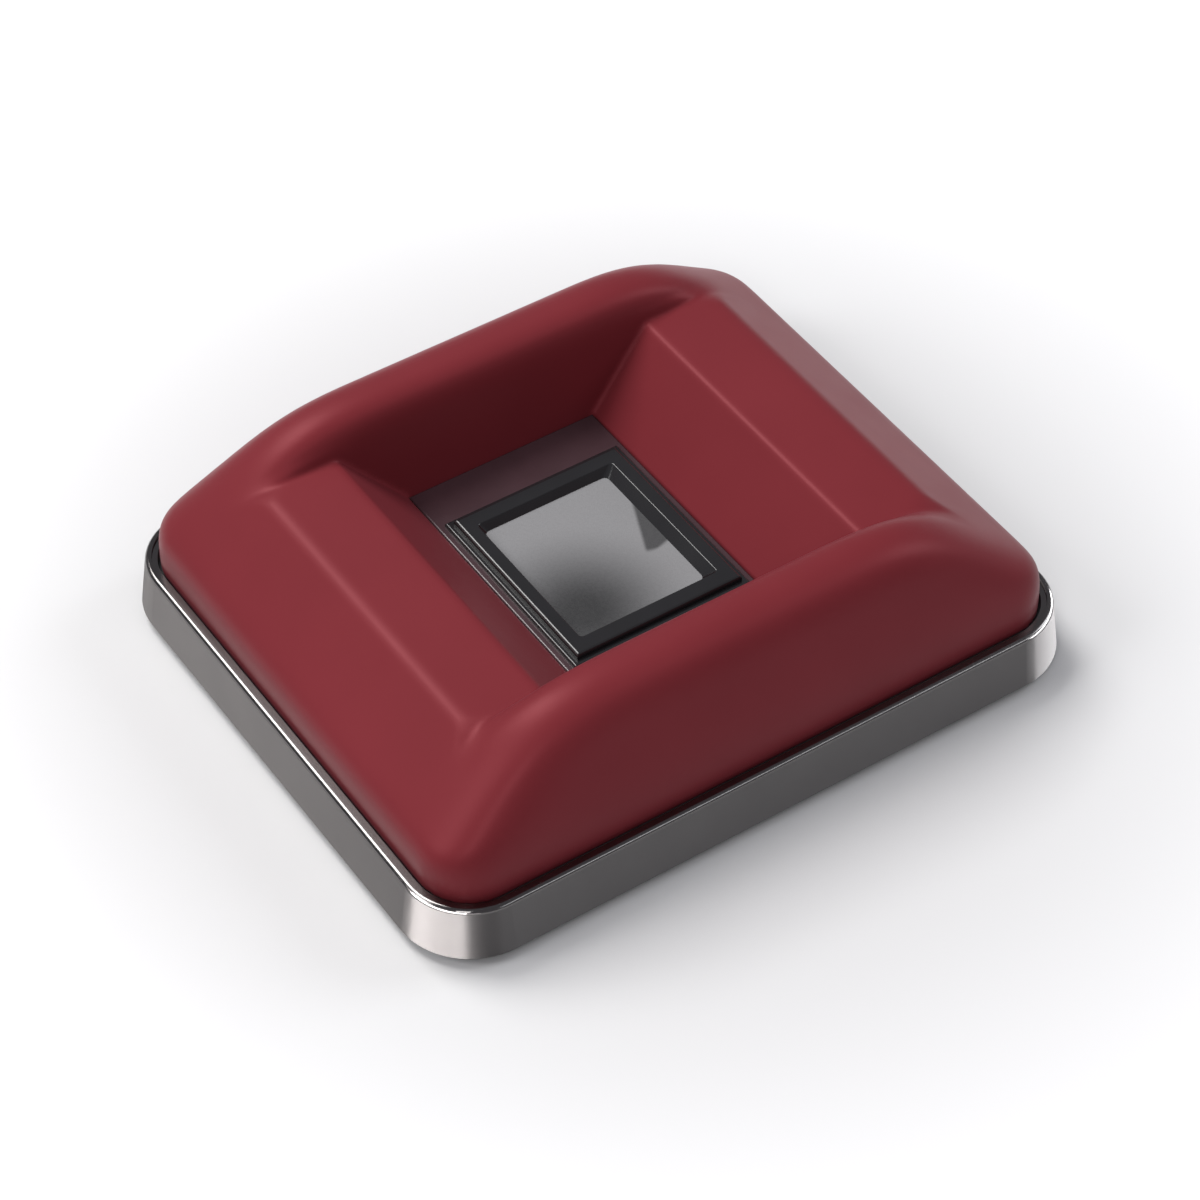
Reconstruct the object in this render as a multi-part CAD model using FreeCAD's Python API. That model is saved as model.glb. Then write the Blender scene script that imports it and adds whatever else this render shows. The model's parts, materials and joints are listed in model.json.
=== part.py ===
import FreeCAD, Part
import math
import os
from FreeCAD import Vector

# Desktop fingerprint scanner terminal, in millimetres.
# X runs across the finger channel, Y along it (the user sits on the -Y side,
# the USB socket is on the +Y side), Z is up. The origin is the centre of the
# footprint, on the surface that the rubber feet stand on.
#
# The soft red cover is a hipped roof with a straight finger channel through
# it. A metal band rings the foot of the cover, a plastic tray closes the
# bottom, and the optical sensor stands under the window in the channel floor.

# ---- driving dimensions ----
BAND_X, BAND_Y, BAND_R = 64.0, 76.6, 7.95       # metal band at its foot
BAND_Z0, BAND_Z1 = 1.0, 7.1
BAND_DRAFT = 0.82                               # how far the band leans in
BAND_WALL = 1.5
BAND_LIP_X, BAND_LIP_Z = 2.05, 5.9              # inward lip that covers the tray wall
BAND_RIM_INSET, BAND_RIM_DROP = 1.45, 0.25      # raised rim outside the flat lip
BAND_RIM_R, BAND_FOOT_BEVEL = 0.5, 0.2

COVER_X, COVER_Y, COVER_R = 59.3, 71.9, 5.6     # foot of the cover
COVER_Z0, COVER_Z1 = 6.3, 21.5
COVER_WALL = 2.0
SIDE_DEG, FRONT_DEG, WALL_DEG = 69.9, 37.7, 81.0
SIDE_FOOT_Z, FRONT_FOOT_Z = 10.8, 11.1          # where the slopes meet the foot
CREST_R, CREST_END_R, SHELF_R, FOOT_EDGE_R = 3.6, 24.0, 4.0, 3.0

SHELF_Z, SHELF_HALF_X, SHELF_INNER_Y = 17.85, 19.0, 18.65
FLOOR_Z, FLOOR_HALF_Y = 9.8, 11.3               # floor of the finger recess

TRAY_X, TRAY_Y, TRAY_R = 60.8, 73.4, 6.35
TRAY_Z0, TRAY_FLOOR_Z, TRAY_WALL = 1.3, 2.5, 2.0
CORNER_X, CORNER_Y = 23.5, 28.5                 # feet and case screws
FOOT_D, FOOT_DEPTH = 9.0, 0.6

PLATE_X, PLATE_Y, PLATE_Z = 22.6, 19.6, 10.9    # raised frame round the window
PLATE_EDGE_R, SILL_EDGE_R = 0.35, 0.12
SKIRT, SKIRT_Z, SKIRT_EDGE_R = 0.65, 10.25, 0.2     # low step round the raised frame
OPENING_X, OPENING_Y = 18.9, 16.4               # its opening at the top
SIGHT_X, SIGHT_Y, SIGHT_SHIFT = 17.6, 14.8, -0.35   # and down at the glass, a little forward
OPENING_R, SIGHT_R = 0.4, 0.6
GLASS_Z0, GLASS_Z1 = 8.6, 10.0
GLASS_X, GLASS_Y = 19.0, 16.7

PRISM_X, PRISM_Y, PRISM_Z0, PRISM_Z1 = 17.2, 15.0, 3.4, 8.5
CHASSIS_X, CHASSIS_Y0, CHASSIS_Y1 = 25.0, -25.5, 9.5
CHASSIS_Z1, CHASSIS_WALL, CHASSIS_FLOOR = 6.8, 1.5, 0.6
CHASSIS_SCREWS = [(-6.0, -11.0), (6.0, -11.0)]
LENS_Z, LENS_D = 6.0, 4.8
BARREL_Y0, BARREL_Y1 = -21.5, -14.5
SENSOR_BOARD_Y0, SENSOR_BOARD_T, SENSOR_BOARD_TOP = -24.0, 1.0, 13.0

BOARD_X, BOARD_Y0, BOARD_Y1 = 38.8, 10.2, 34.2
BOARD_Z0, BOARD_T = 3.0, 1.0
BOARD_TOP = BOARD_Z0 + BOARD_T
BOARD_SCREWS = [(-16.8, 31.6), (16.8, 31.6), (-16.8, 12.8), (9.5, 12.8)]
USB_X, USB_Z, USB_H = 8.94, 3.9, 3.16
USB_Y0, USB_Y1 = 29.6, 37.0
CABLE_X0, CABLE_X1, CABLE_Z, CABLE_T = 14.0, 18.5, 4.6, 0.2
FAR = 60.0                                      # beyond every outline
GAP = 0.1                                       # fitting clearance

os.makedirs("parts", exist_ok=True)


# ---- small helpers ----
def tan(degrees):
    return math.tan(math.radians(degrees))


def sin(degrees):
    return math.sin(math.radians(degrees))


def cos(degrees):
    return math.cos(math.radians(degrees))


def save(name, *solids):
    """Write one node; several solids share it as a group."""
    pieces = [piece for solid in solids for piece in solid.Solids]
    shape = pieces[0] if len(pieces) == 1 else Part.makeCompound(pieces)
    shape.exportStep("parts/" + name + ".step")


def box(x0, x1, y0, y1, z0, z1):
    return Part.makeBox(x1 - x0, y1 - y0, z1 - z0, Vector(x0, y0, z0))


def block(x, y, z0, z1):
    """A box centred on the Z axis."""
    return box(-x / 2, x / 2, -y / 2, y / 2, z0, z1)


def upright_edges(solid):
    return [edge for edge in solid.Edges
            if abs(edge.Vertexes[0].Z - edge.Vertexes[-1].Z) > 0.05
            and abs(edge.Vertexes[0].X - edge.Vertexes[-1].X) < 1e-6]


def rounded_block(x, y, radius, z0, z1):
    solid = block(x, y, z0, z1)
    return solid.makeFillet(radius, upright_edges(solid))


def edges_at(solid, z, half_x, half_y):
    """Level edges at one height, inside the given half sizes."""
    return [edge for edge in solid.Edges
            if edge.BoundBox.ZLength < 1e-3 and abs(edge.BoundBox.ZMin - z) < 1e-3
            and edge.BoundBox.XMax < half_x and edge.BoundBox.YMax < half_y]


def outer_edges_at(solid, z):
    """The level edges at one height that lie on the solid's outline."""
    bounds = solid.BoundBox
    loops = [wire for face in solid.Faces for wire in face.Wires
             if wire.BoundBox.ZLength < 1e-3 and abs(wire.BoundBox.ZMin - z) < 1e-3]
    loop = max(loops, key=lambda wire: wire.BoundBox.XLength)
    return [edge for edge in loop.Edges if bounds.isInside(edge.CenterOfMass)]


def cylinder(x, y, diameter, z0, z1):
    return Part.makeCylinder(diameter / 2, z1 - z0, Vector(x, y, z0))


def cylinder_y(x, z, diameter, y0, y1):
    return Part.makeCylinder(diameter / 2, y1 - y0, Vector(x, y0, z), Vector(0, 1, 0))


def corners():
    return [(sx * CORNER_X, sy * CORNER_Y) for sx in (-1, 1) for sy in (-1, 1)]


def outline(x, y, radius, z):
    """Rounded rectangle as a wire at one height."""
    solid = rounded_block(x, y, radius, z, z + 1)
    lowest = min(solid.Faces, key=lambda face: face.CenterOfMass.z)
    return lowest.OuterWire


# ---- the roof shape of the cover ----
def front_y(z, inset):
    """Half length of the front and rear slopes at one height."""
    return COVER_Y / 2 - GAP - inset / sin(FRONT_DEG) - (z - FRONT_FOOT_Z) / tan(FRONT_DEG)


def side_x(z, inset):
    """Half width of the side slopes at one height."""
    return COVER_X / 2 - inset / sin(SIDE_DEG) - (z - SIDE_FOOT_Z) / tan(SIDE_DEG)


def wall_x(z, inset):
    """Half width of the finger channel at one height."""
    return SHELF_HALF_X + inset / sin(WALL_DEG) + (z - SHELF_Z) / tan(WALL_DEG)


def mirrored(point):
    return Vector(point.x, -point.y, point.z)


def roof_slab(top, radius, inset, dips=()):
    """Slab across X whose top is level, then rounds down into the two end slopes.

    dips are further points of the +Y half of the top line, from outside in.
    """
    setback = radius * tan(FRONT_DEG / 2)
    edge_y = front_y(top, inset)
    low = Vector(-FAR, front_y(0, inset), 0)
    end = Vector(-FAR, edge_y + setback * cos(FRONT_DEG), top - setback * sin(FRONT_DEG))
    start = Vector(-FAR, edge_y - setback, top)
    middle = Vector(-FAR, start.y + radius * sin(FRONT_DEG / 2),
                    top - radius + radius * cos(FRONT_DEG / 2))
    line = [start, *dips, *[mirrored(point) for point in reversed(dips)], mirrored(start)]
    edges = [Part.makeLine(low, end), Part.Arc(end, middle, start).toShape()]
    edges += [Part.makeLine(a, b) for a, b in zip(line, line[1:])]
    edges += [Part.Arc(mirrored(start), mirrored(middle), mirrored(end)).toShape(),
              Part.makeLine(mirrored(end), mirrored(low)), Part.makeLine(mirrored(low), low)]
    return Part.Face(Part.Wire(edges)).extrude(Vector(2 * FAR, 0, 0))


def wedge(half_low, half_high, z0, z1):
    """Bar along Y with leaning sides."""
    points = [Vector(-half_low, -FAR, z0), Vector(half_low, -FAR, z0),
              Vector(half_high, -FAR, z1), Vector(-half_high, -FAR, z1)]
    return Part.Face(Part.makePolygon(points + points[:1])).extrude(Vector(0, 2 * FAR, 0))


def edges_on(solid, half_width):
    """Edges, above the underside, that lie in the leaning planes |x| = half_width(z)."""
    found = []
    for edge in solid.Edges:
        points = edge.discretize(7)
        leaning = all(abs(abs(point.x) - half_width(point.z)) < 2e-3 for point in points)
        if leaning and max(point.z for point in points) > 0.1:
            found.append(edge)
    return found


def cover_skin(inset):
    """The roof with its channel, as a solid, moved inwards by inset."""
    top = COVER_Z1 - inset
    radius = max(CREST_R - inset, 1.1)
    roof = roof_slab(top, CREST_END_R - inset, inset).common(
        wedge(side_x(0, inset), side_x(top, inset), 0, top))
    crest = [edge for edge in edges_on(roof, lambda z: side_x(z, inset))
             if edge.BoundBox.ZMax > 1]
    roof = roof.makeFillet(radius, crest)
    channel = wedge(wall_x(0, inset), wall_x(2 * top, inset), 0, 2 * top)
    ridges = roof.cut(channel)
    ridges = ridges.makeFillet(radius, edges_on(ridges, lambda z: wall_x(z, inset)))
    dips = [Vector(-FAR, SHELF_INNER_Y, SHELF_Z - inset),
            Vector(-FAR, FLOOR_HALF_Y, FLOOR_Z - inset)]
    lower = roof.common(roof_slab(SHELF_Z - inset, SHELF_R, inset, dips))
    return lower.fuse(ridges).removeSplitter().Solids[0]


def on_foot_wall(edge):
    """True for an edge where the slopes run into the upright foot of the cover."""
    for point in edge.discretize(5):
        over_x = abs(point.x) - (COVER_X / 2 - COVER_R)
        over_y = abs(point.y) - (COVER_Y / 2 - COVER_R)
        reach = math.hypot(max(over_x, 0), max(over_y, 0)) + min(max(over_x, over_y), 0)
        if abs(reach - COVER_R) > 1e-2 or point.z < COVER_Z0 + 0.5:
            return False
    return True


def cover_outer():
    foot = rounded_block(COVER_X, COVER_Y, COVER_R, COVER_Z0, COVER_Z1 + 2)
    solid = cover_skin(0).common(foot).removeSplitter().Solids[0]
    return solid.makeFillet(FOOT_EDGE_R, [edge for edge in solid.Edges if on_foot_wall(edge)])


def top_cover():
    """Soft red cover: a shell with four screw bosses and the hole for the black tray."""
    outer = cover_outer()
    cavity = cover_skin(COVER_WALL).common(
        rounded_block(COVER_X - 2 * COVER_WALL, COVER_Y - 2 * COVER_WALL,
                      COVER_R - COVER_WALL, COVER_Z0 - 1, COVER_Z1))
    shell = outer.cut(cavity)
    hole = block(2 * wall_x(FLOOR_Z, 0), 2 * FLOOR_HALF_Y, COVER_Z0, FLOOR_Z)
    shell = shell.cut(hole)
    boss_z0, boss_top, pilot_top = 4.9, 14.5, 11.0
    for x, y in corners():
        boss = cylinder(x, y, 6.4, COVER_Z0, boss_top).common(outer)
        foot = cylinder(x, y, 6.4, boss_z0, COVER_Z0)
        shell = shell.fuse(boss).fuse(foot).cut(cylinder(x, y, 2.3, boss_z0, pilot_top))
    return shell.removeSplitter()


# ---- band, tray and what holds them ----
def usb_hole(grow, y0, y1):
    """Round-ended bar along Y for the USB opening."""
    height = USB_H + 2 * grow
    bar = box(-USB_X / 2 - grow, USB_X / 2 + grow, y0, y1,
              USB_Z - height / 2, USB_Z + height / 2)
    along = [edge for edge in bar.Edges if edge.BoundBox.YLength > 1]
    return bar.makeFillet(height / 2 - 0.02, along)


def metal_band():
    lower = outline(BAND_X, BAND_Y, BAND_R, BAND_Z0)
    upper = outline(BAND_X - 2 * BAND_DRAFT, BAND_Y - 2 * BAND_DRAFT,
                    BAND_R - BAND_DRAFT, BAND_Z1)
    band = Part.makeLoft([lower, upper], True, True)
    band = band.makeFillet(BAND_RIM_R, outer_edges_at(band, BAND_Z1))
    band = band.makeChamfer(BAND_FOOT_BEVEL, outer_edges_at(band, BAND_Z0))

    def inner(inset, z0, z1):
        return rounded_block(BAND_X - 2 * inset, BAND_Y - 2 * inset, BAND_R - inset, z0, z1)

    band = band.cut(inner(BAND_WALL, 0, BAND_LIP_Z))
    band = band.cut(inner(BAND_LIP_X, 0, BAND_Z1 + 1))
    band = band.cut(inner(BAND_RIM_INSET, BAND_Z1 - BAND_RIM_DROP, BAND_Z1 + 1))
    return band.cut(usb_hole(0.35, BAND_Y / 2 - 4, BAND_Y / 2 + 1))


def cover_gasket():
    """Flat black ring between the tray wall and the foot of the cover."""
    ring = rounded_block(59.2, 71.8, 5.55, BAND_LIP_Z, COVER_Z0)
    return ring.cut(rounded_block(57.0, 69.6, 4.45, BAND_LIP_Z, COVER_Z0))


def base_tray():
    tray = rounded_block(TRAY_X, TRAY_Y, TRAY_R, TRAY_Z0, BAND_LIP_Z)
    tray = tray.cut(rounded_block(TRAY_X - 2 * TRAY_WALL, TRAY_Y - 2 * TRAY_WALL,
                                  TRAY_R - TRAY_WALL, TRAY_FLOOR_Z, BAND_LIP_Z))
    pocket_z = TRAY_Z0 + FOOT_DEPTH
    for x, y in corners():
        tray = tray.fuse(cylinder(x, y, 8.0, TRAY_FLOOR_Z, 4.9))
    for x, y in corners():
        tray = tray.cut(cylinder(x, y, FOOT_D + GAP, TRAY_Z0, pocket_z))
        tray = tray.cut(cylinder(x, y, 4.6, pocket_z, 3.6))
        tray = tray.cut(cylinder(x, y, 2.6, 3.6, 4.9))
    for x, y in BOARD_SCREWS:
        tray = tray.fuse(cylinder(x, y, 4.0, TRAY_FLOOR_Z, BOARD_Z0))
        tray = tray.cut(cylinder(x, y, 1.7, 1.7, BOARD_Z0))
    for x, y in CHASSIS_SCREWS:
        tray = tray.cut(cylinder(x, y, 1.5, 1.7, TRAY_FLOOR_Z))
    for side in (-1, 1):
        x0, x1 = sorted((side * 20.4, side * 27.1))
        rib = box(x0, x1, -24.7, 6.7, TRAY_FLOOR_Z, 4.0)
        tray = tray.fuse(rib.cut(ballast_bar(side, GAP)))
    notch = box(-USB_X / 2 - 0.5, USB_X / 2 + 0.5, 34, 38, TRAY_FLOOR_Z - 0.4, BAND_LIP_Z)
    sunk = box(-USB_X / 2 - 0.5, USB_X / 2 + 0.5, 29, 38, TRAY_FLOOR_Z - 0.4, TRAY_FLOOR_Z)
    tray = tray.cut(notch).cut(sunk)
    tray = tray.cut(rating_label())
    return tray.removeSplitter()


def ballast_bar(side, grow):
    x0, x1 = sorted((side * 21.0, side * 26.5))
    return box(x0 - grow, x1 + grow, -24 - grow, 6 + grow, TRAY_FLOOR_Z, 6.0)


def ballast_bars():
    bars = []
    for side in (-1, 1):
        bar = ballast_bar(side, 0)
        bars.append(bar.makeChamfer(0.6, upright_edges(bar)))
    return bars


def rating_label():
    """Blank label let into the underside."""
    return rounded_block(34.0, 18.0, 1.5, TRAY_Z0, TRAY_Z0 + 0.2)


def rubber_feet():
    feet = []
    for x, y in corners():
        foot = cylinder(x, y, FOOT_D, 0, TRAY_Z0 + FOOT_DEPTH)
        feet.append(foot.makeFillet(0.4, edges_at(foot, 0, FAR, FAR)))
    return feet


def screw(x, y, z_seat, head_d, head_h, shank_d, length, down=True):
    """Cross-recessed screw; the head is above its seat, or below it if not down."""
    way = -1 if down else 1
    lows = sorted((z_seat, z_seat - way * head_h))
    head = cylinder(x, y, head_d, lows[0], lows[1])
    face_z = z_seat - way * head_h
    head = head.makeChamfer(head_h * 0.25, edges_at(head, face_z, FAR, FAR))
    depth = head_h * 0.55
    z0, z1 = sorted((face_z, face_z + way * depth))
    arm, width = head_d * 0.3, head_d * 0.1
    head = head.cut(box(x - arm, x + arm, y - width, y + width, z0, z1))
    head = head.cut(box(x - width, x + width, y - arm, y + arm, z0, z1))
    z0, z1 = sorted((z_seat, z_seat + way * length))
    return head.fuse(cylinder(x, y, shank_d, z0, z1)).removeSplitter()


def case_screws():
    return [screw(x, y, 3.6, 4.2, 1.5, 2.2, 6.4, down=False) for x, y in corners()]


# ---- window in the floor of the recess ----
def bezel_tray():
    """Black floor of the finger recess, let into the cover from below."""
    plug = block(2 * wall_x(FLOOR_Z, 0) - GAP, 2 * FLOOR_HALF_Y - GAP,
                 FLOOR_Z - COVER_WALL, FLOOR_Z)
    plug = plug.makeFillet(0.25, edges_at(plug, FLOOR_Z, FAR, FAR))
    flange = block(37.6, 26.0, CHASSIS_Z1, FLOOR_Z - COVER_WALL)
    hole = block(PLATE_X - 2, PLATE_Y - 2, CHASSIS_Z1, FLOOR_Z)
    return plug.fuse(flange).cut(hole).removeSplitter()


def window_frame():
    """Stepped frame with a sloping sill down to the glass, and a neck through the tray."""
    plate = block(PLATE_X, PLATE_Y, FLOOR_Z, PLATE_Z)
    plate = plate.makeFillet(PLATE_EDGE_R, edges_at(plate, PLATE_Z, FAR, FAR))
    skirt = block(PLATE_X + 2 * SKIRT, PLATE_Y + 2 * SKIRT, FLOOR_Z, SKIRT_Z)
    skirt = skirt.makeFillet(SKIRT_EDGE_R, edges_at(skirt, SKIRT_Z, FAR, FAR))
    neck = block(PLATE_X - 2 - 2 * GAP, PLATE_Y - 2 - 2 * GAP, 7.4, FLOOR_Z)
    frame = plate.fuse(skirt).fuse(neck).removeSplitter()
    sight = outline(SIGHT_X, SIGHT_Y, SIGHT_R, GLASS_Z1).translated(Vector(0, SIGHT_SHIFT, 0))
    opening = outline(OPENING_X, OPENING_Y, OPENING_R, PLATE_Z + 0.01)
    sill = Part.makeLoft([sight, opening], True, True)
    frame = frame.cut(sill)
    frame = frame.makeFillet(SILL_EDGE_R, edges_at(frame, PLATE_Z, OPENING_X / 2 + 0.1,
                                                   OPENING_Y / 2 + 0.1))
    frame = frame.cut(block(GLASS_X + 2 * GAP, GLASS_Y + 2 * GAP, 7.4, GLASS_Z1))
    return frame.removeSplitter()


def platen_glass():
    glass = block(GLASS_X, GLASS_Y, GLASS_Z0, GLASS_Z1)
    return glass.makeChamfer(0.2, upright_edges(glass))


def window_seal():
    """Rubber ring under the glass."""
    seal = block(GLASS_X, GLASS_Y, 8.2, GLASS_Z0)
    return seal.cut(block(GLASS_X - 1.4, GLASS_Y - 1.4, 8.2, GLASS_Z0))


# ---- optics ----
def prism():
    """Glass wedge: the finger is seen through its top, from its tall -Y face."""
    half = PRISM_Y / 2
    points = [Vector(-PRISM_X / 2, -half, PRISM_Z0), Vector(-PRISM_X / 2, -half, PRISM_Z1),
              Vector(-PRISM_X / 2, half, PRISM_Z1), Vector(-PRISM_X / 2, half, PRISM_Z1 - 0.9)]
    return Part.Face(Part.makePolygon(points + points[:1])).extrude(Vector(PRISM_X, 0, 0))


def optical_chassis():
    """Open box with a lens wall and an end wall for the sensor board."""
    floor_z = TRAY_FLOOR_Z + CHASSIS_FLOOR
    half = CHASSIS_X / 2
    wall_y0, wall_y1 = -18.5, -16.5
    chassis = box(-half, half, CHASSIS_Y0, CHASSIS_Y1, TRAY_FLOOR_Z, CHASSIS_Z1)
    chassis = chassis.cut(box(-half + CHASSIS_WALL, half - CHASSIS_WALL,
                              SENSOR_BOARD_Y0, CHASSIS_Y1 - CHASSIS_WALL,
                              floor_z, CHASSIS_Z1))
    chassis = chassis.fuse(box(-half, half, wall_y0, wall_y1, floor_z, 9.5))
    chassis = chassis.cut(cylinder_y(0, LENS_Z, LENS_D, wall_y0, wall_y1))
    chassis = chassis.fuse(box(-half, half, CHASSIS_Y0, SENSOR_BOARD_Y0, floor_z,
                               SENSOR_BOARD_TOP))
    for side in (-1, 1):
        x0, x1 = sorted((side * PRISM_X / 2, side * (half - CHASSIS_WALL)))
        chassis = chassis.fuse(box(x0, x1, -PRISM_Y / 2, PRISM_Y / 2, floor_z, CHASSIS_Z1))
        chassis = chassis.cut(cylinder_y(side * 7.2, 11, 1.4, CHASSIS_Y0, SENSOR_BOARD_Y0))
    # the sensor board runs out past the +X side wall
    chassis = chassis.cut(box(half - CHASSIS_WALL, half, SENSOR_BOARD_Y0,
                              SENSOR_BOARD_Y0 + SENSOR_BOARD_T, floor_z, CHASSIS_Z1))
    for x, y in CHASSIS_SCREWS:
        chassis = chassis.cut(cylinder(x, y, 1.6, TRAY_FLOOR_Z, floor_z))
    return chassis.removeSplitter()


def chassis_screws():
    seat = TRAY_FLOOR_Z + CHASSIS_FLOOR
    return [screw(x, y, seat, 3.0, 0.9, 1.4, 1.3) for x, y in CHASSIS_SCREWS]


def lens_barrel():
    barrel = cylinder_y(0, LENS_Z, LENS_D, BARREL_Y0, BARREL_Y1)
    barrel = barrel.cut(cylinder_y(0, LENS_Z, 3.0, BARREL_Y0, BARREL_Y1))
    return barrel.cut(cylinder_y(0, LENS_Z, 3.8, BARREL_Y1 - 1.4, BARREL_Y1))


def lens():
    """Plano-convex lens, domed towards the prism."""
    disc = cylinder_y(0, LENS_Z, 3.8, BARREL_Y1 - 1.4, BARREL_Y1 + 0.2)
    radius = 3.4
    return disc.common(Part.makeSphere(radius, Vector(0, BARREL_Y1 + 0.2 - radius, LENS_Z)))


def sensor_board():
    board = box(-9, 19.5, SENSOR_BOARD_Y0, SENSOR_BOARD_Y0 + SENSOR_BOARD_T,
                TRAY_FLOOR_Z + CHASSIS_FLOOR, SENSOR_BOARD_TOP)
    for side in (-1, 1):
        board = board.cut(cylinder_y(side * 7.2, 11, 1.7, SENSOR_BOARD_Y0 - 1,
                                     SENSOR_BOARD_Y0 + SENSOR_BOARD_T + 1))
    return board


def image_sensor():
    face = SENSOR_BOARD_Y0 + SENSOR_BOARD_T
    package = box(-3.5, 3.5, face, face + 1.2, LENS_Z - 2.8, LENS_Z + 3.5)
    return package.cut(box(-2.4, 2.4, face + 0.7, face + 1.2, LENS_Z - 1.8, LENS_Z + 1.8))


def sensor_board_screws():
    seat = SENSOR_BOARD_Y0 + SENSOR_BOARD_T
    screws = []
    for side in (-1, 1):
        upright = screw(0, 0, 0, 2.8, 0.9, 1.4, 2.2)
        upright.rotate(Vector(0, 0, 0), Vector(1, 0, 0), -90)
        upright.translate(Vector(side * 7.2, seat, 11))
        screws.append(upright)
    return screws


def led_board():
    return block(16.8, 5.8, 3.1, 3.7).translated(Vector(0, 4.3, 0))


def led_emitters():
    return [box(x - 0.8, x + 0.8, 3.8, 4.8, 3.7, 4.4) for x in (-6, -2, 2, 6)]


def diffuser():
    """Milky sheet between the lamps and the prism."""
    return box(-PRISM_X / 2, PRISM_X / 2, 1.9, 6.9, 4.8, 5.2)


# ---- electronics ----
def main_board():
    board = box(-BOARD_X / 2, BOARD_X / 2, BOARD_Y0, BOARD_Y1, BOARD_Z0, BOARD_TOP)
    board = board.makeFillet(1.0, upright_edges(board))
    board = board.cut(box(-USB_X / 2 - 0.1, USB_X / 2 + 0.1, USB_Y0 - 0.1, BOARD_Y1,
                          BOARD_Z0, BOARD_TOP))
    for x, y in BOARD_SCREWS:
        board = board.cut(cylinder(x, y, 2.0, BOARD_Z0, BOARD_TOP))
    return board


def board_screws():
    return [screw(x, y, BOARD_TOP, 3.2, 1.0, 1.6, 2.1) for x, y in BOARD_SCREWS]


def processor():
    chip = box(-10.5, -1.5, 15.5, 24.5, BOARD_TOP, BOARD_TOP + 1.1)
    return chip.makeChamfer(0.2, edges_at(chip, BOARD_TOP + 1.1, FAR, FAR))


def memory_chip():
    chip = box(3, 9, 17, 22, BOARD_TOP, BOARD_TOP + 0.9)
    return chip.makeChamfer(0.15, edges_at(chip, BOARD_TOP + 0.9, FAR, FAR))


def crystal():
    can = box(3.4, 6.6, 24.4, 26.9, BOARD_TOP, BOARD_TOP + 0.8)
    return can.makeFillet(0.3, upright_edges(can))


def board_capacitors():
    places = [(-13.5, 17.5), (-13.5, 20.5), (-13.5, 23.5), (-4.5, 27.2), (11.5, 19.0),
              (11.5, 22.0), (-8.5, 27.2), (9.5, 25.6)]
    return [box(x - 0.6, x + 0.6, y - 0.4, y + 0.4, BOARD_TOP, BOARD_TOP + 0.7)
            for x, y in places]


def cable_connectors():
    """The two latches that the flat cable plugs into."""
    face = SENSOR_BOARD_Y0 + SENSOR_BOARD_T
    slot = box(CABLE_X0 - GAP, CABLE_X1 + GAP, face, BOARD_Y0 + 3,
               CABLE_Z - GAP, CABLE_Z + CABLE_T + GAP)
    at_sensor = box(CABLE_X0 - 0.7, CABLE_X1 + 0.7, face, face + 1.6, 3.8, 5.6)
    at_board = box(CABLE_X0 - 0.7, CABLE_X1 + 0.7, BOARD_Y0 + 0.8, BOARD_Y0 + 4,
                   BOARD_TOP, BOARD_TOP + 1.3)
    return [at_sensor.cut(slot), at_board.cut(slot)]


def flat_cable():
    """Ribbon between the two boards, bowed up a little in its middle."""
    y0 = SENSOR_BOARD_Y0 + SENSOR_BOARD_T + 0.3
    y1 = BOARD_Y0 + 2.6
    run, rise = 4.0, 0.9
    line = [(y0, 0), (y0 + run, 0), (y0 + 2 * run, rise), (y1 - 2 * run, rise),
            (y1 - run, 0), (y1, 0)]
    below = [Vector(CABLE_X0, y, CABLE_Z + up) for y, up in line]
    above = [Vector(CABLE_X0, y, CABLE_Z + CABLE_T + up) for y, up in reversed(line)]
    face = Part.Face(Part.makePolygon(below + above + below[:1]))
    return face.extrude(Vector(CABLE_X1 - CABLE_X0, 0, 0))


def usb_shell():
    """Steel shell of the USB-C socket, open at the rear face."""
    shell = usb_hole(0, USB_Y0, USB_Y1)
    return shell.cut(usb_hole(-0.3, USB_Y0 + 1.2, USB_Y1 + 1))


def usb_tongue():
    tongue = box(-3.3, 3.3, USB_Y0 + 1.2, USB_Y1 - 0.8, USB_Z - 0.35, USB_Z + 0.35)
    root = box(-3.6, 3.6, USB_Y0 + 1.2, USB_Y0 + 2.6, USB_Z - 0.9, USB_Z + 0.9)
    return tongue.fuse(root).removeSplitter()


save("top_cover", top_cover())
save("metal_band", metal_band())
save("cover_gasket", cover_gasket())
save("base_tray", base_tray())
save("ballast_bars", *ballast_bars())
save("rating_label", rating_label())
save("rubber_feet", *rubber_feet())
save("case_screws", *case_screws())
save("bezel_tray", bezel_tray())
save("window_frame", window_frame())
save("platen_glass", platen_glass())
save("window_seal", window_seal())
save("prism", prism())
save("optical_chassis", optical_chassis())
save("chassis_screws", *chassis_screws())
save("lens_barrel", lens_barrel())
save("lens", lens())
save("sensor_board", sensor_board())
save("image_sensor", image_sensor())
save("sensor_board_screws", *sensor_board_screws())
save("led_board", led_board())
save("led_emitters", *led_emitters())
save("diffuser", diffuser())
save("main_board", main_board())
save("board_screws", *board_screws())
save("processor", processor())
save("memory_chip", memory_chip())
save("crystal", crystal())
save("board_capacitors", *board_capacitors())
save("cable_connectors", *cable_connectors())
save("flat_cable", flat_cable())
save("usb_shell", usb_shell())
save("usb_tongue", usb_tongue())
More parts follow.
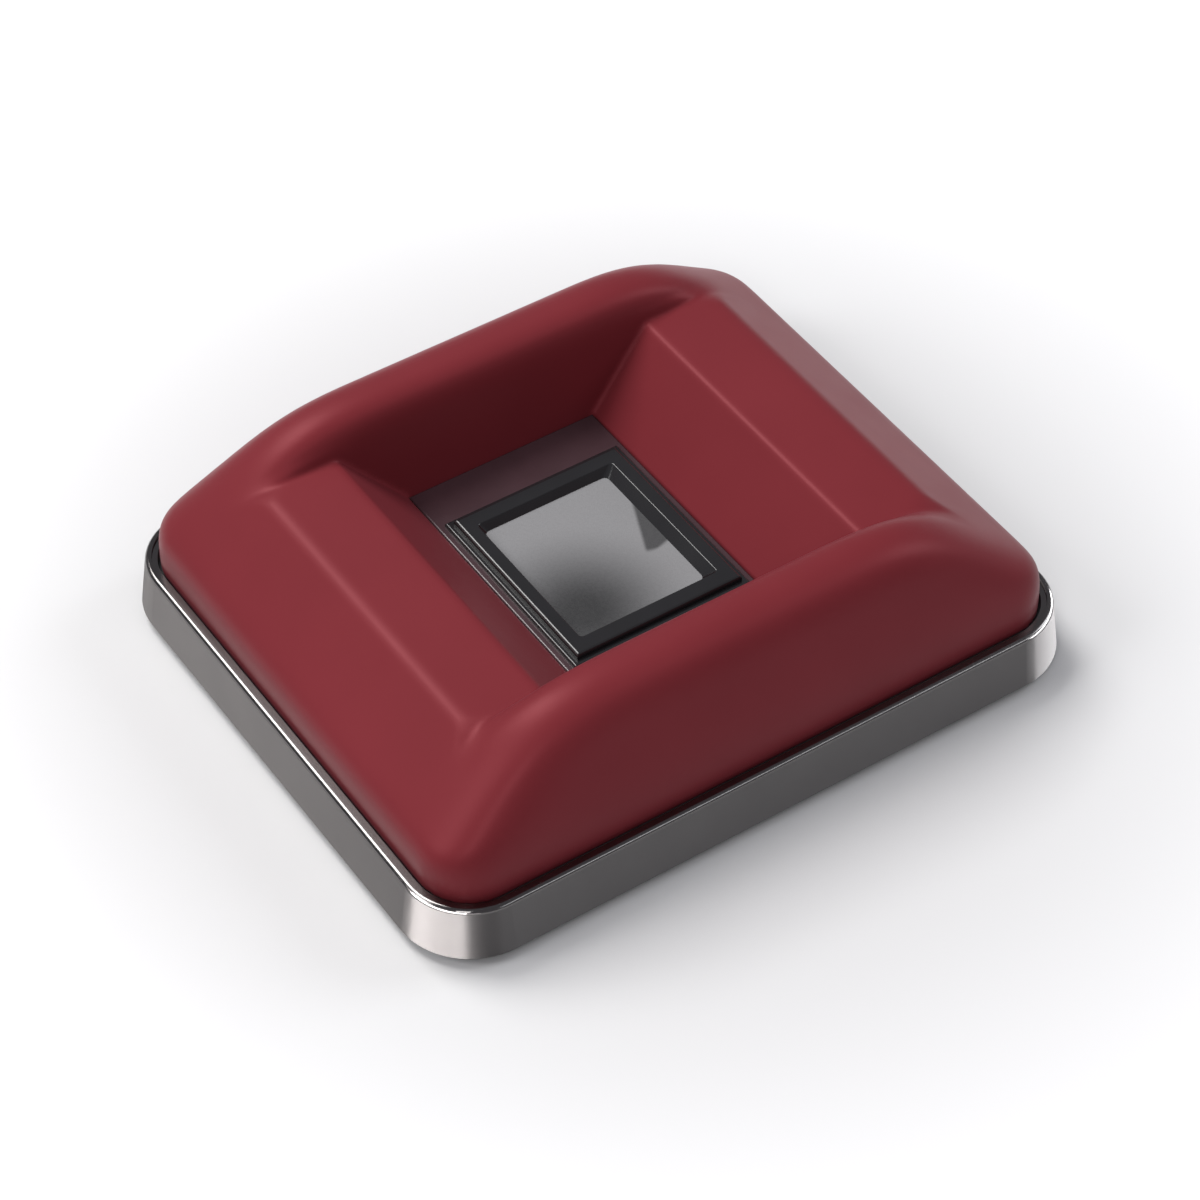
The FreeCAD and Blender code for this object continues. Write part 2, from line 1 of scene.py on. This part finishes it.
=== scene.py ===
import bpy
import json
import math
import numpy as np
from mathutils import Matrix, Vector


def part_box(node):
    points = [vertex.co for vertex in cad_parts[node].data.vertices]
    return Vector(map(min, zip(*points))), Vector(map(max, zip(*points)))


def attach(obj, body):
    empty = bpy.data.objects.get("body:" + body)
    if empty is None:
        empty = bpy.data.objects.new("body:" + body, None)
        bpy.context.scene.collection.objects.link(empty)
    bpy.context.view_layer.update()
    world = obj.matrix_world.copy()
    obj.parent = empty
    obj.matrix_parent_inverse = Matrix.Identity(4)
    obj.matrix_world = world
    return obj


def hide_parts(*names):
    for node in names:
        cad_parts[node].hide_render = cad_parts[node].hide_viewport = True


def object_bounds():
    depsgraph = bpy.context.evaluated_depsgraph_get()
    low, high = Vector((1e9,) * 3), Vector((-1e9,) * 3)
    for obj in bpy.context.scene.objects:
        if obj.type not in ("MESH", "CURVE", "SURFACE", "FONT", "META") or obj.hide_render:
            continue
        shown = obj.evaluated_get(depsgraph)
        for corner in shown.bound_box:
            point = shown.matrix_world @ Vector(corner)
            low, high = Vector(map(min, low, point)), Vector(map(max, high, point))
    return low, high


# Desktop fingerprint scanner terminal. The CAD nodes keep their shapes and get
# their materials here. Only the soft red cover is replaced, by a mesh with the
# same slopes and softer transitions between them. The cover and the materials
# are described in millimetres, the floor, lights and camera in metres.

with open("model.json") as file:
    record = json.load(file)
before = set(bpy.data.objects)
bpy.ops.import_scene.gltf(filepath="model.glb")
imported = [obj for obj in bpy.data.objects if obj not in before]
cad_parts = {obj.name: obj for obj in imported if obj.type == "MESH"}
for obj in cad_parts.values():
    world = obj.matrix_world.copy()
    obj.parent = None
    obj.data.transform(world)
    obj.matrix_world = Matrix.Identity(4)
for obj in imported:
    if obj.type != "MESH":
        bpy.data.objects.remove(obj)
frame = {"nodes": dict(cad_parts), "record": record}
cad_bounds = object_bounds()
nodes = frame["nodes"]
MM = 0.001

# ---- cover, as in the CAD ----
TOP_Z = cad_bounds[1][2] / MM
CREST_DROP = 0.09
ROOF_TOP = TOP_Z + CREST_DROP       # the level plane that the crests round down from
COVER_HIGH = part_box("top_cover")[1] / MM
COVER_HALF_X, COVER_HALF_Y = COVER_HIGH.x, COVER_HIGH.y
COVER_R, COVER_Z0, COVER_WALL = 5.6, 6.3, 2.0
SIDE_DEG, FRONT_DEG, WALL_DEG = 69.9, 37.7, 81.0
SIDE_FOOT_Z, FRONT_FOOT_Z = 10.8, 11.1
FRONT_SETBACK = 0.1                 # from the cover's edge to the foot of the front slope
SHELF_Z, SHELF_HALF_X, SHELF_INNER_Y = 17.85, 19.0, 18.65
FLOOR_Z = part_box("bezel_tray")[1].z / MM
FLOOR_HALF_Y = 11.3

# ---- how far from each edge of the cover its rounding starts ----
CREST_SOFT, FOOT_SOFT = 5.1, 2.1
FACET_SOFT, CORNER_SOFT = 0.6, 0.6
HIP_SOFT, LEAST_HIP_SOFT = 7.3, 0.4     # on the two ridges, and between them
HIP_X0, HIP_X1 = 16.8, 20.0             # where one grows into the other
WALL_SOFT, SHELF_SOFT = 4.6, 0.9        # along the channel's walls, and along its shelves
SOFT_CHANGE = 2.0                       # how near their meeting one turns into the other

# ---- cover mesh ----
CELL, QUICK_CELL = 0.35, 0.5
MARGIN_CELLS = 1.5
SETTLE_STEPS = 5
PROBE_CELLS, LONGEST_STEP_CELLS = 0.05, 0.4
LEAST_SQUARED_SLOPE = 0.2           # keeps the steps short where the field is flat

# ---- film under the glass: painted shade and a painted reflection ----
# painted shade: the film is darkest around this spot and lighter beyond the second radius
PAINTED_SHADE_SPOT = (6.0, -5.5, 10.0)
PAINTED_SHADE_R, PAINTED_SHADE_FADE_R = 1.0, 12.8
# The dark wedge, a painted reflection, is a product of soft steps: each row has the factors of x
# and y, where the step starts and ends, and how dark it is before and after.
REFLECTION_WEDGE_STEPS = (((0.418, 1.0), (5.10, 5.65), (0.0, 0.85)),
               ((1.0, 0.278), (3.95, 4.55), (1.0, 0.0)),
               ((1.0, -0.336), (0.50, 1.30), (1.0, 0.0)))

# ---- floor and world ----
FLOOR_HALF = 3.0
# painted shade: the floor is darker near the object, as a shadow around it
FLOOR_SHADE_FULL, FLOOR_SHADE_GONE = 0.035, 0.095    # the floor grows lighter from one to the other
WORLD_COLOR, WORLD_STRENGTH = (0.95, 0.93, 1.0, 1.0), 0.27

# ---- lights: name, place, aim, size, power, colour ----
WHITE, WARM = (1.0, 1.0, 1.0), (1.0, 0.97, 0.96)
SOFT_BOXES = (
    ("key", (-0.50, -0.14, 0.80), (0, 0, 0), (0.45, 0.45), 7.8, (1.0, 0.99, 0.975)),
    ("beside_camera", (0.50, -0.50, 0.70), (0, 0, 0), (0.25, 0.25), 2.0, WHITE),
    ("rear", (0.15, 0.75, 0.60), (0, 0, 0.01), (0.40, 0.40), 2.4, (0.93, 0.96, 1.0)),
    ("front", (-0.20, -0.70, 0.60), (0, 0, 0.01), (0.35, 0.35), 2.8, WHITE),
)
# low strips that the band's wall mirrors, and one for its right-hand rim
BAND_LIGHTS = (
    ("front_strip", (0.21, -0.50, 0.10), (0.21, 0, 0.01), (0.82, 0.18), 15.0, WARM),
    ("front_strip_end", (0.98, -0.50, 0.10), (0.98, 0, 0.01), (0.68, 0.18), 1.2, WARM),
    ("rim_light", (0.62, 0.35, 0.50), (0, 0, 0.01), (0.60, 0.15), 0.9, (0.93, 0.97, 1.0)),
    ("rear_strip", (0.26, 0.50, 0.10), (0.26, 0, 0.01), (0.76, 0.18), 9.0, (0.96, 0.98, 1.0)),
)

# ---- camera ----
LENS, SENSOR, DISTANCE, CLIP_END = 113.92, 36.0, 0.38845, 20.0
PITCH, YAW = math.radians(45.68), math.radians(56.23)
AIM_X, AIM_Y, AIM_Z = -0.0018, 0.0016, 0.001    # from the middle of the footprint


# ---------------------------------------------------------------- node helpers
class Nodes:
    """Short-hand for building one material's node tree."""

    def __init__(self, name):
        self.material = bpy.data.materials.new(name)
        self.material.use_nodes = True
        self.tree = self.material.node_tree
        self.shader = self.tree.nodes["Principled BSDF"]
        self.place = self.add("ShaderNodeTexCoord").outputs["Object"]

    def add(self, kind, **settings):
        node = self.tree.nodes.new(kind)
        for key, value in settings.items():
            setattr(node, key, value)
        return node

    def link(self, source, target):
        self.tree.links.new(source, target)

    def fill(self, socket, value):
        """Link the socket to another one, or give it a constant."""
        if isinstance(value, bpy.types.NodeSocket):
            self.link(value, socket)
        else:
            socket.default_value = value

    def noise(self, size_mm, detail=3.0, roughness=0.5, stretch=(1, 1, 1)):
        """Noise whose blobs are about size_mm across."""
        mapping = self.add("ShaderNodeMapping")
        mapping.inputs["Scale"].default_value = stretch
        self.link(self.place, mapping.inputs["Vector"])
        node = self.add("ShaderNodeTexNoise")
        node.inputs["Scale"].default_value = 1 / (size_mm * MM)
        node.inputs["Detail"].default_value = detail
        node.inputs["Roughness"].default_value = roughness
        self.link(mapping.outputs["Vector"], node.inputs["Vector"])
        return node.outputs["Fac"]

    def measure(self, operation, vector=(0, 0, 0)):
        """A number from the place on the object, in metres, and a fixed vector."""
        node = self.add("ShaderNodeVectorMath", operation=operation)
        self.link(self.place, node.inputs[0])
        node.inputs[1].default_value = vector
        return node.outputs["Value"]

    def span(self, value, low, high, from_low=0.3, from_high=0.7, soft=False):
        """low where value is from_low, turning into high where it is from_high."""
        kind = "SMOOTHSTEP" if soft else "LINEAR"
        node = self.add("ShaderNodeMapRange", interpolation_type=kind)
        for socket, number in zip(("From Min", "From Max", "To Min", "To Max"),
                                  (from_low, from_high, low, high)):
            node.inputs[socket].default_value = number
        self.link(value, node.inputs["Value"])
        return node.outputs["Result"]

    def math(self, operation, a, b):
        node = self.add("ShaderNodeMath", operation=operation)
        self.fill(node.inputs[0], a)
        self.fill(node.inputs[1], b)
        return node.outputs[0]

    def mix(self, factor, a, b):
        node = self.add("ShaderNodeMix", data_type="RGBA")
        self.fill(node.inputs["Factor"], factor)
        for name, value in (("A", a), ("B", b)):
            socket = [s for s in node.inputs if s.name == name and s.type == "RGBA"][0]
            self.fill(socket, value)
        return [s for s in node.outputs if s.type == "RGBA"][0]

    def bump(self, layers):
        """Chain of bumps; each layer is (height, strength, distance in mm)."""
        normal = None
        for height, strength, distance in layers:
            node = self.add("ShaderNodeBump")
            node.inputs["Strength"].default_value = strength
            node.inputs["Distance"].default_value = distance * MM
            self.link(height, node.inputs["Height"])
            if normal is not None:
                self.link(normal, node.inputs["Normal"])
            normal = node.outputs["Normal"]
        self.link(normal, self.shader.inputs["Normal"])

    def set(self, **values):
        """Shader sockets by name, with _ for a blank."""
        for name, value in values.items():
            self.fill(self.shader.inputs[name.replace("_", " ")], value)


def rgb(r, g, b):
    return (r, g, b, 1.0)


# ---------------------------------------------------------------- materials
def soft_red():
    """Soft-touch paint: fine grain, a faint bloom at grazing angles, slightly rubbed patches."""
    n = Nodes("soft_red")
    cloud = n.span(n.noise(14.0, 2.0), 0.0, 1.0)
    n.set(Base_Color=n.mix(cloud, rgb(0.143, 0.0183, 0.0236), rgb(0.154, 0.0201, 0.0258)),
          Roughness=n.span(n.noise(5.0, 4.0), 0.38, 0.41),
          Specular_IOR_Level=0.23, Specular_Tint=rgb(1.0, 0.30, 0.34),
          Sheen_Weight=0.03, Sheen_Roughness=0.35, Sheen_Tint=rgb(1.0, 0.66, 0.82))
    n.bump([(n.noise(0.28, 3.0, 0.6), 0.35, 0.020), (n.noise(1.6, 2.0), 0.20, 0.015)])
    return n.material


def dark_chrome():
    """Dark plating: the wall is brushed upright, and the rounded rim is polished bright."""
    n = Nodes("dark_chrome")
    marks = n.noise(0.25, 2.0, 0.6, stretch=(1, 1, 14))
    dull = n.span(n.noise(9.0, 4.0), 0.0, 0.04)
    brushed = n.math("ADD", n.span(marks, 0.43, 0.46), dull)
    split = n.add("ShaderNodeSeparateXYZ")
    n.link(n.add("ShaderNodeNewGeometry").outputs["Normal"], split.inputs[0])
    wall = n.span(split.outputs["Z"], 1.0, 0.24, 0.12, 0.30)
    n.set(Base_Color=n.mix(n.noise(6.0, 2.0), rgb(0.140, 0.133, 0.132), rgb(0.160, 0.153, 0.151)),
          Roughness=n.math("MULTIPLY", brushed, wall),
          Metallic=1.0, Anisotropic=1.0, Anisotropic_Rotation=0.25)
    n.bump([(marks, 0.05, 0.004)])
    return n.material


def black_plastic(name, roughness, grain_mm, depth_mm, tone):
    """Moulded plastic or rubber: a dark tone with lighter clouds, and a fine grain."""
    n = Nodes(name)
    lighter = [1.5 * part for part in tone]
    n.set(Base_Color=n.mix(n.noise(4.0, 3.0), rgb(*tone), rgb(*lighter)),
          Roughness=n.span(n.noise(6.0, 2.0), roughness, roughness + 0.04))
    n.bump([(n.noise(grain_mm, 3.0, 0.6), 0.3, depth_mm)])
    return n.material


def grey_glass():
    """Coated sensing glass with faint smears. The film under it has painted shade towards one
    corner and a small dark wedge, a painted reflection."""
    n = Nodes("grey_glass")
    smear = n.span(n.noise(0.12, 3.0, 0.7), -0.02, 0.02)
    # painted shade: the film's tone darkens towards one spot
    from_painted_shade = n.measure("DISTANCE", Vector(PAINTED_SHADE_SPOT) * MM)
    light = n.span(from_painted_shade, 0.0, 1.0, PAINTED_SHADE_R * MM, PAINTED_SHADE_FADE_R * MM, soft=True)
    # painted reflection: a dark wedge taken out of the film's tone
    painted_reflection = 1.0
    for factors, (start, end), (before, after) in REFLECTION_WEDGE_STEPS:
        across = n.measure("DOT_PRODUCT", (*factors, 0))
        step = n.span(across, before, after, start * MM, end * MM, soft=True)
        painted_reflection = n.math("MULTIPLY", painted_reflection, step)
    light = n.math("MULTIPLY", light, n.math("SUBTRACT", 1.0, painted_reflection))
    # the film's own grey, mixed towards the dark tone where shade and the reflection are painted
    n.set(Base_Color=n.mix(n.math("ADD", light, smear),
                           rgb(0.024, 0.0245, 0.025), rgb(0.212, 0.212, 0.217)),
          Roughness=n.span(n.noise(0.35, 4.0, 0.7), 0.22, 0.34),
          Coat_Weight=0.6, Coat_Roughness=0.12)
    return n.material


def plain(name, color_a, color_b, roughness, metallic=0.0):
    """Faintly mottled finish with a slightly uneven gloss."""
    n = Nodes(name)
    n.set(Base_Color=n.mix(n.noise(2.0, 3.0), rgb(*color_a), rgb(*color_b)),
          Roughness=n.span(n.noise(1.2, 4.0), roughness, roughness + 0.12),
          Metallic=metallic)
    n.bump([(n.noise(0.5, 3.0), 0.2, 0.01)])
    return n.material


# ---------------------------------------------------------------- shape of the cover
def slope(degrees):
    return math.tan(math.radians(degrees)), math.sin(math.radians(degrees))


def smooth_max(a, b, width):
    """Rounded intersection; width is how far from the edge the rounding starts."""
    near = np.clip(width - np.abs(a - b), 0, None) / width
    return np.maximum(a, b) + near * near * near * width / 6


def smooth_min(a, b, width):
    return -smooth_max(-a, -b, width)


def ramp(value, low, high):
    """0 below low, 1 above high, with soft ends."""
    part = np.clip((value - low) / (high - low), 0, 1)
    return part * part * (3 - 2 * part)


def outside_roof(x, y, z):
    """Distance outside the cover's outer skin, in mm, negative inside."""
    x, y = np.abs(x), np.abs(y)
    side_tan, side_sin = slope(SIDE_DEG)
    front_tan, front_sin = slope(FRONT_DEG)
    wall_tan, wall_sin = slope(WALL_DEG)
    top = z - ROOF_TOP
    side = (x - COVER_HALF_X + (z - SIDE_FOOT_Z) / side_tan) * side_sin
    front = (y - COVER_HALF_Y + FRONT_SETBACK + (z - FRONT_FOOT_Z) / front_tan) * front_sin
    over_x = x - (COVER_HALF_X - COVER_R)
    over_y = y - (COVER_HALF_Y - COVER_R)
    foot = (np.hypot(np.maximum(over_x, 0), np.maximum(over_y, 0))
            + np.minimum(np.maximum(over_x, over_y), 0) - COVER_R)
    hip_soft = LEAST_HIP_SOFT + (HIP_SOFT - LEAST_HIP_SOFT) * ramp(x, HIP_X0, HIP_X1)
    roof = smooth_max(smooth_max(top, side, CREST_SOFT), front, hip_soft)
    hull = smooth_max(roof, foot, FOOT_SOFT)
    channel = (SHELF_HALF_X + (z - SHELF_Z) / wall_tan - x) * wall_sin
    facet_run = (SHELF_INNER_Y - FLOOR_HALF_Y) / (SHELF_Z - FLOOR_Z)
    facet = (FLOOR_HALF_Y + (z - FLOOR_Z) * facet_run - y) / math.hypot(1, facet_run)
    shelf = smooth_max(z - SHELF_Z, np.maximum(facet, FLOOR_HALF_Y - y), FACET_SOFT)
    wall_share = ramp(shelf - channel, -SOFT_CHANGE, SOFT_CHANGE)
    softness = SHELF_SOFT + (WALL_SOFT - SHELF_SOFT) * wall_share
    return smooth_max(hull, smooth_min(channel, shelf, CORNER_SOFT), softness)


def cover_field(x, y, z):
    """The cover's shell, open below."""
    outer = outside_roof(x, y, z)
    shell = np.maximum(outer, -(outer + COVER_WALL))
    return np.maximum(shell, COVER_Z0 - z)


# ---------------------------------------------------------------- meshing
def cell_points(value, low, cell):
    """A point in each grid cell that the surface crosses, and a grid of their numbers."""
    inside = value < 0
    counts = np.array(value.shape) - 1
    total = np.zeros(tuple(counts) + (3,))
    hits = np.zeros(tuple(counts))

    def at(array, corner):
        return array[tuple(slice(c, c + n) for c, n in zip(corner, counts))]

    for corner in np.ndindex(2, 2, 2):
        for axis in range(3):
            if corner[axis]:
                continue
            other = tuple(c + (i == axis) for i, c in enumerate(corner))
            va, vb = at(value, corner), at(value, other)
            crossed = at(inside, corner) != at(inside, other)
            part = np.where(crossed, va / np.where(crossed, va - vb, 1), 0)
            hits += crossed
            for i in range(3):
                step = part if i == axis else 0
                total[..., i] += crossed * (corner[i] + step)
    used = hits > 0
    index = -np.ones(hits.shape, int)
    index[used] = np.arange(used.sum())
    points = np.array(low) + (np.argwhere(used) + total[used] / hits[used][:, None]) * cell
    return points, index


def cell_quads(inside, index):
    """A quad across each grid edge that the surface cuts, facing outwards."""
    quads = []
    for axis in range(3):
        u, v = (axis + 1) % 3, (axis + 2) % 3
        first = [slice(1, -1)] * 3
        first[axis] = slice(0, -1)
        second = list(first)
        second[axis] = slice(1, None)
        a, b = inside[tuple(first)], inside[tuple(second)]
        for crossed, turn in ((a & ~b, 1), (~a & b, -1)):
            base = np.argwhere(crossed) + 1
            base[:, axis] -= 1
            ring = []
            for du, dv in ((0, 0), (-1, 0), (-1, -1), (0, -1)):
                where = base.copy()
                where[:, u] += du
                where[:, v] += dv
                ring.append(index[tuple(where.T)])
            quads.append(np.stack(ring, 1)[:, ::turn])
    return np.concatenate(quads)


def settle(points, field, cell):
    """Move the points onto field = 0, in a few short steps along its slope."""
    small, longest = PROBE_CELLS * cell, LONGEST_STEP_CELLS * cell
    for _ in range(SETTLE_STEPS):
        here = field(*points.T)
        slopes = np.stack([(field(*(points + small * unit).T) - field(*(points - small * unit).T))
                           / (2 * small) for unit in np.eye(3)], 1)
        squared = np.clip((slopes ** 2).sum(1), LEAST_SQUARED_SLOPE, None)
        move = -(here / squared)[:, None] * slopes
        points = points + np.clip(move, -longest, longest)
    return points


def surface_net(field, low, high, cell):
    """Closed quad mesh of field = 0."""
    axes = [np.arange(a, b + cell, cell) for a, b in zip(low, high)]
    value = field(*np.meshgrid(*axes, indexing="ij"))
    points, index = cell_points(value, low, cell)
    return settle(points, field, cell), cell_quads(value < 0, index)


# ---------------------------------------------------------------- pieces
def mesh_object(name, points, faces):
    """A smooth-shaded object from points in millimetres."""
    mesh = bpy.data.meshes.new(name)
    mesh.from_pydata((np.asarray(points) * MM).tolist(), [], np.asarray(faces).tolist())
    mesh.validate()
    mesh.polygons.foreach_set("use_smooth", [True] * len(mesh.polygons))
    mesh.update()
    piece = bpy.data.objects.new(name, mesh)
    bpy.context.scene.collection.objects.link(piece)
    return piece


def soft_cover(material):
    cell = CELL
    margin = MARGIN_CELLS * cell
    low = (-COVER_HALF_X - margin, -COVER_HALF_Y - margin, COVER_Z0 - margin)
    high = (COVER_HALF_X + margin, COVER_HALF_Y + margin, TOP_Z + margin)
    points, quads = surface_net(cover_field, low, high, cell)
    piece = mesh_object("soft_cover", points, quads)
    piece.data.materials.append(material)
    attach(piece, "root")
    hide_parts("top_cover")


def dress_cad_nodes(looks, own_looks):
    """Each node takes its own look if it has one, and its slot's look otherwise."""
    for subpart in frame["record"]["subparts"]:
        name = subpart["node"]
        nodes[name].data.materials.clear()
        nodes[name].data.materials.append(own_looks.get(name, looks[subpart["material_slot"]]))


red = soft_red()
soft_cover(red)

LOOKS = {
    "soft_red": red,
    "gunmetal": dark_chrome(),
    "black_gloss": black_plastic("black_gloss", 0.15, 1.5, 0.0006, (0.009, 0.009, 0.010)),
    "black_matt": black_plastic("black_matt", 0.55, 0.25, 0.02, (0.020, 0.020, 0.021)),
    "black_rubber": black_plastic("black_rubber", 0.75, 0.4, 0.03, (0.020, 0.020, 0.020)),
    "clear_glass": grey_glass(),
    "steel": plain("steel", (0.55, 0.55, 0.54), (0.62, 0.62, 0.61), 0.28, 1.0),
    "circuit_board": plain("circuit_board", (0.01, 0.08, 0.035), (0.015, 0.11, 0.05), 0.35),
    "chip_black": plain("chip_black", (0.02, 0.02, 0.022), (0.03, 0.03, 0.033), 0.5),
    "milky_plastic": plain("milky_plastic", (0.75, 0.75, 0.72), (0.82, 0.82, 0.8), 0.5),
    "label_silver": plain("label_silver", (0.42, 0.42, 0.43), (0.48, 0.48, 0.49), 0.4),
    "cable_white": plain("cable_white", (0.7, 0.7, 0.7), (0.78, 0.78, 0.77), 0.4),
}
# the recess floor's tone is tinted red-brown, a painted reflection of the red walls
OWN_LOOKS = {"bezel_tray": black_plastic("black_floor_painted_reflection", 0.24, 1.5, 0.0006, (0.040, 0.020, 0.024))}
dress_cad_nodes(LOOKS, OWN_LOOKS)


# ---------------------------------------------------------------- floor, light, camera
def add_floor():
    corners = [(-FLOOR_HALF, -FLOOR_HALF, 0), (FLOOR_HALF, -FLOOR_HALF, 0),
               (FLOOR_HALF, FLOOR_HALF, 0), (-FLOOR_HALF, FLOOR_HALF, 0)]
    mesh = bpy.data.meshes.new("floor")
    mesh.from_pydata(corners, [], [(0, 1, 2, 3)])
    piece = bpy.data.objects.new("floor", mesh)
    bpy.context.scene.collection.objects.link(piece)
    n = Nodes("floor_white")
    # painted shade: the floor's colour darkens towards the object
    past_painted_shade = n.span(n.measure("LENGTH"), 0.0, 1.0, FLOOR_SHADE_FULL, FLOOR_SHADE_GONE, soft=True)
    n.set(Base_Color=n.mix(past_painted_shade, rgb(0.58, 0.58, 0.585), rgb(0.82, 0.82, 0.825)), Roughness=0.55)
    mesh.materials.append(n.material)


def area_light(name, place, aim, size, power, color, only=None):
    """A soft box; only is the collection of pieces that it lights, when not everything."""
    data = bpy.data.lights.new(name, "AREA")
    data.shape = "RECTANGLE"
    data.size, data.size_y = size
    data.energy = power
    data.color = color
    light = bpy.data.objects.new(name, data)
    light.location = place
    light.rotation_euler = (Vector(aim) - Vector(place)).to_track_quat("-Z", "Y").to_euler()
    bpy.context.scene.collection.objects.link(light)
    if only is not None:
        light.light_linking.receiver_collection = only


def add_lights():
    metalwork = bpy.data.collections.new("metalwork")
    metalwork.objects.link(nodes["metal_band"])
    for box in SOFT_BOXES:
        area_light(*box)
    for strip in BAND_LIGHTS:
        area_light(*strip, only=metalwork)


def add_world():
    world = bpy.data.worlds.new("studio")
    world.use_nodes = True
    world.node_tree.nodes["Background"].inputs["Color"].default_value = WORLD_COLOR
    world.node_tree.nodes["Background"].inputs["Strength"].default_value = WORLD_STRENGTH
    bpy.context.scene.world = world


def add_camera():
    look = Vector((-math.cos(PITCH) * math.sin(YAW), math.cos(PITCH) * math.cos(YAW),
                   -math.sin(PITCH)))
    middle = (Vector(cad_bounds[0]) + Vector(cad_bounds[1])) / 2
    aim = Vector((middle.x + AIM_X, middle.y + AIM_Y, cad_bounds[0][2] + AIM_Z))
    data = bpy.data.cameras.new("camera")
    data.lens = LENS
    data.sensor_width = SENSOR
    data.clip_end = CLIP_END
    camera = bpy.data.objects.new("camera", data)
    camera.location = aim - look * DISTANCE
    camera.rotation_euler = look.to_track_quat("-Z", "Y").to_euler()
    bpy.context.scene.collection.objects.link(camera)
    bpy.context.scene.camera = camera


add_floor()
add_lights()
add_world()
add_camera()
bpy.context.scene.view_settings.view_transform = "Standard"
